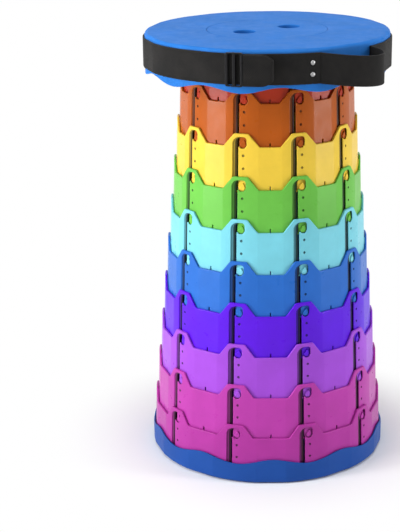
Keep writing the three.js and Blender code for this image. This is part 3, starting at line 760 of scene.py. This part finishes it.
def cap(name, face, sign, holes):
    """A round plate with a skirt, and a closed cup under each finger hole."""
    origin = (0, 0)
    edge = circle(origin, CAP_RADIUS, CAP_SIDES)
    chains = bevelled(edge, CAP_EDGE)
    for hole in holes:
        chains += bevelled(circle(hole, HOLE_RADIUS, HOLE_SIDES)[::-1], HOLE_LIP)
    chains += [(circle(origin, radius, CAP_RING_SIDES), True) for radius in CAP_RINGS]

    def outside(points, radius):
        limit = radius * math.cos(math.pi / HOLE_SIDES)
        return np.all([reach_from(points, hole) > limit for hole in holes], axis=0)

    def keep_top(points):
        return (reach_from(points, origin) < CAP_RADIUS) & outside(points, HOLE_RADIUS)

    flat, faces = triangulate(chains, keep_top)
    drop = bevel_drop(CAP_RADIUS - reach_from(flat, origin), CAP_EDGE)
    for hole in holes:
        reach = reach_from(flat, hole) - HOLE_RADIUS
        drop = np.maximum(drop, bevel_drop(np.maximum(reach, 0), HOLE_LIP))
    shell = Shell()
    shell.add(np.column_stack([flat, face - sign * drop]), faces)
    under = face - sign * CAP_PLATE
    skirt_outer, cup = LEDGE_INNER - GAP, HOLE_RADIUS + CUP_WALL
    skirt_inner = skirt_outer - CAP_SKIRT_WALL
    chains = [(edge, True)]
    chains += [(circle(origin, radius, CAP_SKIRT_SIDES), True) for radius in (skirt_outer, skirt_inner)]
    chains += [(circle(hole, cup, HOLE_SIDES), True) for hole in holes]

    def keep_back(points):
        reach = reach_from(points, origin)
        within = (reach < CAP_RADIUS) & ((reach > skirt_outer) | (reach < skirt_inner))
        return within & outside(points, cup)

    flat, faces = triangulate(chains, keep_back)
    shell.add(np.column_stack([flat, np.full(len(flat), under)]), faces[:, ::-1])
    side = [(CAP_RADIUS, face - sign * CAP_EDGE), (CAP_RADIUS, under)]
    shell.loft(ring_rows(origin, side, CAP_SIDES), "open")
    foot = under - sign * CAP_SKIRT_DEPTH
    shell.loft(ring_rows(origin, [
        (skirt_outer, under), (skirt_outer, foot + sign * CAP_SKIRT_EDGE),
        (skirt_outer - CAP_SKIRT_EDGE, foot), (skirt_inner, foot), (skirt_inner, under),
    ], CAP_SKIRT_SIDES), "open")
    floor = face - sign * CUP_DEPTH
    foot = floor - sign * CUP_WALL
    for hole in holes:
        shell.loft(ring_rows(hole, [
            (HOLE_RADIUS, face - sign * HOLE_LIP), (HOLE_RADIUS, floor + sign * CUP_ROUND),
            (HOLE_RADIUS - CUP_SOFT, floor + sign * CUP_SOFT), (HOLE_RADIUS - CUP_ROUND, floor),
            (HOLE_RADIUS / 2, floor), (CUP_SOFT, floor),
        ], HOLE_SIDES), "cap last")
        shell.loft(ring_rows(hole, [
            (cup, under), (cup, foot + sign * CUP_SOFT), (cup - CUP_SOFT, foot), (CUP_SOFT, foot),
        ], HOLE_SIDES), "cap last")
    return shell.build(name, weld=CAP_WELD)


holes = [on_side(reach, 0, HOLE_TURN) for reach in (-HOLE_REACH, HOLE_REACH)]
seat_cap = cap("seat_cap_round", SEAT_TOP, 1, holes)
base_cap = cap("base_cap_round", 0.0, -1, [])


# Webbing
STRAP_SOFT = 0.42 * STRAP_THICKNESS
STRAP_ACROSS = (0.6, 0.2, -0.2, -0.6)
CORNER_STEPS = 4


def ribbon_section():
    """Points round the section: side and distance from an edge, side and distance from a face."""
    section = []
    for edge, face, order in ((1, 1, -1), (1, -1, 1), (-1, -1, -1), (-1, 1, 1)):
        for step in range(CORNER_STEPS + 1)[::order]:
            turn = math.radians(90 * step / CORNER_STEPS)
            along, out = STRAP_SOFT * (1 - math.cos(turn)), STRAP_SOFT * (1 - math.sin(turn))
            section.append((edge, along, face, out))
        if order > 0:
            section += [(edge * share, None, face, 0.0) for share in STRAP_ACROSS]
    return section[::-1]


def ribbon(name, path, centres, halves=STRAP_WIDTH / 2):
    """Webbing with rounded edges along a path; u runs along it and v across it, in metres."""
    spots, normals = (np.array(column) for column in zip(*path))
    centres, halves = (np.broadcast_to(value, len(path)) for value in (centres, halves))
    rows, spans = [], []
    lengths = np.concatenate([[0], np.cumsum(np.linalg.norm(np.diff(spots, axis=0), axis=1))])
    section = ribbon_section()
    for spot, normal, centre, half, length in zip(spots, normals, centres, halves, lengths):
        row = []
        for edge, drop, side, shrink in section:
            across = edge * half if drop is None else edge * (half - drop)
            flat = spot + normal * side * (STRAP_THICKNESS / 2 - shrink)
            row.append((*flat, centre + across))
            spans.append((length * MM, across * MM))
        rows.append(row)
    shell = Shell()
    shell.loft(rows, "cap")
    obj = shell.build(name, sharp=50, weighted=False)
    layer = obj.data.uv_layers.new(name="weave")
    for loop in obj.data.loops:
        layer.data[loop.index].uv = spans[loop.vertex_index]
    return obj


BAND_CREASE = 25.0
BAND_STEPS = 300
WALL_PERIOD = 2 * half_period(COVER_RADIUS, BAND_CREASE)


def around(along):
    """Plan place and normal at a distance along the covers' wall, from the hump at the front."""
    copy = math.floor(along / WALL_PERIOD + 0.5)
    x, y, nx, ny = plan(along - copy * WALL_PERIOD, COVER_RADIUS, BAND_CREASE)
    bearing = HUMP_BEARING + PERIOD * copy
    normal = on_side(nx, ny, bearing)
    return on_side(x, y, bearing) + normal * (GAP + STRAP_THICKNESS / 2), normal


def strap_level(spot):
    """Middle height of the strap, which sits a little askew on the seat."""
    bearing = math.atan2(spot[0], -spot[1])
    tilt = STRAP_TILT * math.cos(bearing - math.radians(STRAP_HIGH_BEARING))
    return STRAP_LEVEL - STRAP_SAG + tilt


band_ends = (2 * WALL_PERIOD - STRAP_END - COUNT * WALL_PERIOD, WALL_PERIOD + STRAP_END)
band_path = [around(along) for along in np.linspace(*band_ends, BAND_STEPS)]
band = ribbon("webbing_band", band_path, [strap_level(spot) for spot, _ in band_path])

HANDLE_STEPS = 60
HANDLE_DROOP = 4.0
HANDLE_LEAVES = (-49, 53)
HANDLE_RETURNS = (290, 35)
SEAM = 0.1
first, first_normal = around(WALL_PERIOD + STRAP_END + SEAM)
last, last_normal = around(2 * WALL_PERIOD - STRAP_END - SEAM)
chord = (last - first) / np.linalg.norm(last - first)


def swung(degrees, length):
    """A step of some length, turned from the line between the handle's roots."""
    return on_side(chord[0], -chord[1], degrees) * length


controls = np.array([first, first + swung(*HANDLE_LEAVES), last + swung(*HANDLE_RETURNS), last])


def bezier(share):
    """Plan place and normal at a share of the handle's curve."""
    rest = 1 - share
    spot = np.array([rest ** 3, 3 * share * rest ** 2, 3 * share ** 2 * rest, share ** 3]) @ controls
    ahead = np.array([rest ** 2, 2 * share * rest, share ** 2]) @ np.diff(controls, axis=0)
    ahead = ahead / np.linalg.norm(ahead)
    return spot, np.array([ahead[1], -ahead[0]])


handle_path, handle_levels = [], []
for step in range(HANDLE_STEPS + 1):
    share = step / HANDLE_STEPS
    handle_path.append(bezier(share))
    level = strap_level(first) * (1 - share) + strap_level(last) * share
    handle_levels.append(level - HANDLE_DROOP * math.sin(math.pi * share))
handle_path[0] = first, first_normal
handle_path[-1] = last, last_normal
handle = ribbon("webbing_handle", handle_path, handle_levels)

# The folded end beside the slider
SLIDER_LENGTH = 18.0
SLIDER_THICKNESS = 2.6
SLIDER_OFFSET = 4.5
FOLD_LENGTH = 29.0
FOLD_GAP = 3.0
FOLD_TURN = 8.0
FOLD_STEPS = 12
FOLD_TAPER = 13
FOLD_NARROW = 0.42
FOLD_POWER = 2.4
FOLD_INNER = COVER_RADIUS + GAP + STRAP_THICKNESS + GAP
SLIDER_LEVEL = strap_level(on_side(SLIDER_OFFSET, FOLD_INNER, HUMP_BEARING))


def folded_end():
    """Webbing that leaves the slider, turns round and comes back, narrower at the turn."""
    start = on_side(SLIDER_OFFSET + SLIDER_LENGTH / 2 + GAP, FOLD_INNER, HUMP_BEARING)
    bearing = HUMP_BEARING + FOLD_TURN
    depth = 2 * STRAP_THICKNESS + FOLD_GAP
    bend = FOLD_LENGTH - depth / 2
    line = (STRAP_THICKNESS + FOLD_GAP) / 2
    there = [(bend * step / FOLD_STEPS, line, 0, 1) for step in range(FOLD_STEPS + 1)]
    turns = [math.pi * step / FOLD_STEPS for step in range(1, FOLD_STEPS)]
    round_end = [
        (bend + line * math.sin(turn), line * math.cos(turn), math.sin(turn), math.cos(turn))
        for turn in turns
    ]
    back = [(along, -line, 0, -1) for along, *_ in reversed(there)]
    path, halves = [], []
    for along, out, nx, ny in there + round_end + back:
        path.append((start + on_side(along, depth / 2 + out, bearing), on_side(nx, ny, bearing)))
        near = max(0.0, (along - (FOLD_LENGTH - FOLD_TAPER)) / FOLD_TAPER)
        halves.append(STRAP_WIDTH / 2 * (1 - FOLD_NARROW * near ** FOLD_POWER))
    return ribbon("webbing_fold", path, SLIDER_LEVEL, halves)


fold = folded_end()

SLIDER_FRAME = 1.4
SLIDER_BARS = 9
SLIDER_MIDDLE_BAR = 3.0
SLIDER_CORNER = 2.4
WINDOW_CORNER = 0.9
SLIDER_EDGE = 0.6


def box(middle, half, reach, corner, steps):
    """A rounded box about the slider's middle height, anticlockwise."""
    left, right = middle - half, middle + half
    low, high = SLIDER_LEVEL - reach, SLIDER_LEVEL + reach
    return rounded([(left, low), (right, low), (right, high), (left, high)], corner, steps=steps)


def three_barred_slider():
    """A flat frame with two windows that the strap passes."""
    outline = box(SLIDER_OFFSET, SLIDER_LENGTH / 2, STRAP_WIDTH / 2 + SLIDER_FRAME, SLIDER_CORNER, 5)
    window = (SLIDER_LENGTH - SLIDER_BARS) / 2
    holes = []
    for side in (-1, 1):
        middle = SLIDER_OFFSET + side * (window + SLIDER_MIDDLE_BAR) / 2
        holes.append(box(middle, window / 2, STRAP_WIDTH / 2, WINDOW_CORNER, 3)[::-1])
    edges = [outline] + holes

    def keep(points):
        return inside(points, outline) & ~np.any([inside(points, hole) for hole in holes], axis=0)

    chains = [chain for edge in edges for chain in bevelled(edge, SLIDER_EDGE)]
    flat, faces = triangulate(chains, keep)
    drop = bevel_drop(np.min([distance_to(flat, edge) for edge in edges], axis=0), SLIDER_EDGE)
    outward, rightward = arrow(HUMP_BEARING)
    sheets = []
    for reach in (FOLD_INNER + SLIDER_THICKNESS - drop, FOLD_INNER + drop):
        spots = flat[:, :1] * rightward + reach[:, None] * outward
        sheets.append(np.column_stack([spots, flat[:, 1]]))
    shell = Shell()
    shell.prism(faces, *sheets)
    return shell.build("buckle_slider", weld=COVER_WELD)


slider = three_barred_slider()

# Rivets: each a shank and a domed head
RIVETS = 4
RIVET_FACE = COVER_RADIUS + GAP + STRAP_THICKNESS
RIVET_SPREAD = 5.6
RIVET_SHANK = 1.3
RIVET_HEAD = 2.4
RIVET_SINK = 0.1
RIVET_EDGE = 0.15
RIVET_DOME = 1.15
RIVET_SIDES = 24
DOME_STEPS = 6


def dome_rivet(number):
    profile = [
        (RIVET_SHANK, COVER_RADIUS - COVER_WALL), (RIVET_SHANK, RIVET_FACE),
        (RIVET_HEAD, RIVET_FACE - RIVET_SINK), (RIVET_HEAD, RIVET_FACE + RIVET_EDGE),
    ]
    for step in range(1, DOME_STEPS):
        turn = math.radians(90 * step / DOME_STEPS)
        dome = RIVET_EDGE + RIVET_DOME * math.sin(turn)
        profile.append((RIVET_HEAD * math.cos(turn), RIVET_FACE + dome))
    outward, rightward = arrow(HUMP_BEARING + PERIOD * (1 + number // 2))
    height = strap_level(outward) + (-RIVET_SPREAD if number % 2 else RIVET_SPREAD)
    rows = []
    for radius, reach in profile:
        ring = circle((0, height), radius, RIVET_SIDES)
        rows.append([(*(outward * reach + rightward * across), level) for across, level in ring])
    shell = Shell()
    shell.loft(rows, "cap")
    return shell.build(f"dome_rivet_{number + 1}", sharp=40)


rivets = [dome_rivet(number) for number in range(RIVETS)]


# Materials
# Painted shade: the most shaded faces take the colour times this.
PAINTED_SHADE_FACTOR = 0.07
RIB = 0.0022
YARN = 0.0015
SELVEDGE_REACH = 0.0126
SELVEDGE_WIDTH = 0.0003


class Nodes:
    """The shader nodes of a material or a world."""

    def __init__(self, owner):
        owner.use_nodes = True
        self.owner, self.nodes = owner, owner.node_tree.nodes

    def fill(self, node, values):
        """Gives a node's inputs numbers, or links from other nodes' outputs."""
        for key, value in values.items():
            if isinstance(value, bpy.types.NodeSocket):
                self.owner.node_tree.links.new(value, node.inputs[key])
            else:
                node.inputs[key].default_value = value

    def add(self, kind, output, values, **settings):
        """A new node with its inputs filled; gives back one of its outputs."""
        node = self.nodes.new("ShaderNode" + kind)
        for key, value in settings.items():
            setattr(node, key, value)
        self.fill(node, values)
        return node.outputs[output]

    def noise(self, scale, detail, rough):
        place = self.add("TexCoord", "Object", {})
        values = {"Vector": place, "Scale": scale, "Detail": detail, "Roughness": rough}
        return self.add("TexNoise", "Fac", values)

    def spread(self, value, low, high, start=0.0, end=1.0, **settings):
        """A number taken from one range to another."""
        ranges = {"From Min": start, "From Max": end, "To Min": low, "To Max": high}
        return self.add("MapRange", "Result", {"Value": value, **ranges}, **settings)

    def ramp(self, value, *stops):
        node = self.nodes.new("ShaderNodeValToRGB")
        for element, (place, color) in zip(node.color_ramp.elements, stops):
            element.position = place
            element.color = (*color, 1)
        self.fill(node, {"Fac": value})
        return node.outputs["Color"]

    def bump(self, height, strength, distance):
        values = {"Height": height, "Strength": strength, "Distance": distance}
        return self.add("Bump", "Normal", values)

    def mix(self, share, first, second):
        return self.add("MixShader", "Shader", {"Fac": share, 1: first, 2: second})

    def surface(self, values):
        self.fill(self.nodes["Principled BSDF"], values)
        return self.owner


def plastic(name, color, rough=0.3, gloss=0.2, grain=0.02):
    """Moulded plastic: faint mottling, fine grain, handling marks, and painted shade where the mesh's
    face attribute asks for it.
    """
    nodes = Nodes(bpy.data.materials.new(name))
    dark = tuple(c * 0.92 for c in color)
    light = tuple(min(1.0, c * 1.056) for c in color)
    tint = nodes.ramp(nodes.noise(28.0, 4.0, 0.6), (0.3, dark), (0.7, light))
    # Painted shade: the face attribute mixes the mottled colour towards a far darker copy.
    painted_shade_share = nodes.add("Attribute", "Fac", {}, attribute_name="painted_shade")
    mixed = {"Factor": painted_shade_share, "A": tint, "B": (*(c * PAINTED_SHADE_FACTOR for c in color), 1)}
    return nodes.surface({
        "Base Color": nodes.add("Mix", "Result", mixed, data_type="RGBA"),
        "Roughness": nodes.spread(nodes.noise(90.0, 6.0, 0.7), rough * 0.85, rough * 1.3, 0.3, 0.75),
        "Normal": nodes.bump(nodes.noise(900.0, 2.0, 0.5), grain, 0.0004),
        "IOR": 1.48,
        "Specular IOR Level": gloss,
    })


def webbing(name):
    """Black nylon: a fine plain weave across and along, selvedges, painted light and shade that follow
    the weave, and a soft sheen.
    """
    nodes = Nodes(bpy.data.materials.new(name))
    place = nodes.add("UVMap", "UV", {}, uv_map="weave")
    along = nodes.add("SeparateXYZ", "X", {"Vector": place})
    across = nodes.add("SeparateXYZ", "Y", {"Vector": place})

    def calc(operation, *values):
        return nodes.add("Math", "Value", dict(enumerate(values)), operation=operation)

    rib = calc("SINE", calc("MULTIPLY", along, 2 * math.pi / RIB))
    yarn = calc("SINE", calc("MULTIPLY", across, 2 * math.pi / YARN))
    weave = calc("ADD", calc("MULTIPLY", calc("MULTIPLY", rib, yarn), 0.5), calc("ABSOLUTE", yarn))
    off = calc("ABSOLUTE", calc("SUBTRACT", calc("ABSOLUTE", across), SELVEDGE_REACH))
    selvedge = calc("LESS_THAN", off, SELVEDGE_WIDTH)
    height = calc("SUBTRACT", weave, calc("MULTIPLY", selvedge, 1.6))
    tint = nodes.ramp(
        nodes.noise(45.0, 5.0, 0.65), (0.3, (0.008, 0.0078, 0.0078)), (0.75, (0.019, 0.0172, 0.016)),
    )
    # Painted light and shade: lighter on the weave's raised yarns, darker in its hollows and the
    # selvedge grooves.
    lift = nodes.spread(height, 0.75, 1.1, -0.5, 1.5)
    mixed = {"Factor": 1.0, "A": tint, "B": lift}
    return nodes.surface({
        "Base Color": nodes.add("Mix", "Result", mixed, data_type="RGBA", blend_type="MULTIPLY"),
        "Normal": nodes.bump(height, 0.55, 0.00035),
        "Roughness": 0.62,
        "Sheen Weight": 0.03,
        "Sheen Roughness": 0.45,
        "Specular IOR Level": 0.12,
    })


def metal(name, color, rough):
    """Bright metal with faint clouds in its colour and gloss."""
    nodes = Nodes(bpy.data.materials.new(name))
    cloud = nodes.noise(400.0, 4.0, 0.6)
    return nodes.surface({
        "Base Color": nodes.ramp(cloud, (0.3, tuple(c * 0.86 for c in color)), (0.7, color)),
        "Roughness": nodes.spread(cloud, rough * 0.8, rough * 1.4),
        "Metallic": 1.0,
    })


def srgb(red, green, blue):
    """Linear colour from the usual scale of 0 to 255."""
    shares = [value / 255 for value in (red, green, blue)]
    return tuple(
        share / 12.92 if share <= 0.04045 else ((share + 0.055) / 1.055) ** 2.4 for share in shares
    )


SEAT_BLUE = srgb(46, 118, 202)
BASE_BLUE = srgb(30, 77, 156)

seat_plastic = plastic("seat_shell_plastic", SEAT_BLUE, rough=0.45, gloss=0.04, grain=0.05)
base_plastic = plastic("base_shell_plastic", BASE_BLUE, rough=0.4, gloss=0.12, grain=0.05)
black_webbing = webbing("black_webbing")
buckle_black = plastic("buckle_black", (0.008, 0.008, 0.009), grain=0.05)
rivet_metal = metal("bright_rivet", (0.4, 0.4, 0.4), 0.3)
screw_metal = metal("zinc_screw", (0.55, 0.55, 0.56), 0.3)


def dress(obj, mat):
    obj.data.materials.clear()
    obj.data.materials.append(mat)


def stand_for(obj, mat, body, slot, *nodes):
    """Gives a piece its material and, if named, its body, and hides the CAD solids it replaces; the slot
    is not used.
    """
    dress(obj, mat)
    if body:
        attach(obj, body)
    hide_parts(*nodes)


for index, ring in enumerate(rings):
    name = TIERS[index]
    body = "seat" if index == 0 else "base" if index == COUNT - 1 else f"tier_{index + 1}"
    finish = plastic(f"gloss_{name}", srgb(*TIER_COLORS[name]), gloss=0.18)
    stand_for(ring, finish, body, f"tier_{name}", f"tier_{index + 1:02d}_{name}")

stand_for(seat_skin, seat_plastic, "seat", "seat_shell_plastic", "seat_cover")
stand_for(seat_cap, seat_plastic, "seat", "seat_shell_plastic", "seat_center_cap")
stand_for(base_skin, base_plastic, "base", "base_shell_plastic", "base_cover")
stand_for(base_cap, base_plastic, "base", "base_shell_plastic", "base_center_cap")
stand_for(band, black_webbing, "seat", "webbing", "strap_band")
stand_for(fold, black_webbing, "slider", "webbing", "strap_fold")
stand_for(slider, buckle_black, "slider", "buckle_plastic", "strap_slider")
for number, rivet in enumerate(rivets):
    stand_for(rivet, rivet_metal, "seat", "rivet_metal", f"strap_rivet_{number + 1}")
stand_for(handle, black_webbing, None, "webbing", "strap_handle")
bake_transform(handle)
for number in range(SCREWS):
    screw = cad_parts[f"seat_screw_{number + 1}"]
    for slot in screw.material_slots:
        slot.material = screw_metal


# Floor, light and camera
FLOOR_SIZE = 16
FLOOR_LEVEL = -0.0005
FLOOR_NEAR = 0.115
FLOOR_FAR = 0.25
SKY = 0.16


def seen_rays(nodes):
    """One for rays from the camera, a mirror or glass, and zero for those that carry light."""
    seen = nodes.add("LightPath", "Is Camera Ray", {})
    for ray in ("Is Glossy Ray", "Is Transmission Ray"):
        values = {0: seen, 1: nodes.add("LightPath", ray, {})}
        seen = nodes.add("Math", "Value", values, operation="ADD", use_clamp=True)
    return seen


def floor_material():
    """White: it takes light and shadow near the stool and is plain white farther out."""
    nodes = Nodes(bpy.data.materials.new("pale_floor"))
    pale = (0.93, 0.93, 0.93, 1)
    mat = nodes.surface({"Base Color": pale, "Roughness": 0.9, "Specular IOR Level": 0.1})
    place = nodes.add("TexCoord", "Object", {})
    reach = nodes.add("VectorMath", "Value", {0: place}, operation="LENGTH")
    far = nodes.spread(reach, 0.0, 1.0, FLOOR_NEAR, FLOOR_FAR, interpolation_type="SMOOTHSTEP")
    share = nodes.add("Math", "Value", {0: far, 1: seen_rays(nodes)}, operation="MULTIPLY")
    lit = nodes.nodes["Principled BSDF"].outputs["BSDF"]
    white = nodes.add("Emission", "Emission", {"Strength": 1.0})
    nodes.fill(nodes.nodes["Material Output"], {"Surface": nodes.mix(share, lit, white)})
    return mat


bpy.ops.mesh.primitive_plane_add(size=FLOOR_SIZE, location=(0, 0, FLOOR_LEVEL))
floor = bpy.context.object
floor.name = "studio_floor"
dress(floor, floor_material())

world = bpy.data.worlds.new("studio")
bpy.context.scene.world = world
nodes = Nodes(world)
sky = nodes.nodes["Background"]
nodes.fill(sky, {"Color": (1, 1, 1, 1), "Strength": SKY})
white = nodes.add("Background", "Background", {"Strength": 1.0})
mixed = nodes.mix(seen_rays(nodes), sky.outputs["Background"], white)
nodes.fill(nodes.nodes["World Output"], {"Surface": mixed})

LAMP_TARGET = Vector((0, 0, 0.25))


def lamp(name, azimuth, elevation, distance, size, power):
    """An area light, aimed at the stool's middle from a bearing, a height angle and a distance."""
    data = bpy.data.lights.new(name, "AREA")
    data.shape = "RECTANGLE"
    data.size, data.size_y = size
    data.energy = power
    obj = link(name, data)
    outward, _ = arrow(azimuth)
    rise = math.radians(elevation)
    place = Vector((*(outward * math.cos(rise)), math.sin(rise))) * distance + LAMP_TARGET
    obj.location = place
    obj.rotation_euler = (LAMP_TARGET - place).to_track_quat("-Z", "Y").to_euler()


lamp("key", -55, 30, 1.8, (0.7, 0.9), 12)
lamp("left_box", -67, 5, 1.5, (0.32, 1.2), 19)
lamp("right_box", 77, 8, 1.5, (0.28, 1.2), 13.5)
lamp("top", 10, 85, 1.9, (1.2, 1.2), 20.5)
lamp("back_left", -160, 35, 1.9, (0.9, 0.9), 1.5)
lamp("back_right", 150, 35, 1.9, (0.9, 0.9), 1.5)

FOCAL = 1513.31
PICTURE_HEIGHT = 532
SENSOR = 36
CAMERA_PLACE = (0.02692, -1.54219, 0.697815)
PITCH = 0.3143
YAW = -0.06401
ROLL = -0.01465
camera_data = bpy.data.cameras.new("camera")
camera_data.sensor_width = SENSOR
camera_data.lens = FOCAL / PICTURE_HEIGHT * SENSOR
camera_data.clip_start = 0.05
camera_data.clip_end = 30
camera = link("camera", camera_data)
camera.location = CAMERA_PLACE
ahead = Vector((math.sin(YAW) * math.cos(PITCH), math.cos(YAW) * math.cos(PITCH), -math.sin(PITCH)))
right = Vector((math.cos(YAW), -math.sin(YAW), 0))
up = right.cross(ahead)
right_rolled = right * math.cos(ROLL) + up * math.sin(ROLL)
up_rolled = up * math.cos(ROLL) - right * math.sin(ROLL)
camera.rotation_euler = Matrix((right_rolled, up_rolled, -ahead)).transposed().to_euler()
bpy.context.scene.camera = camera

bpy.context.scene.view_settings.view_transform = "Standard"
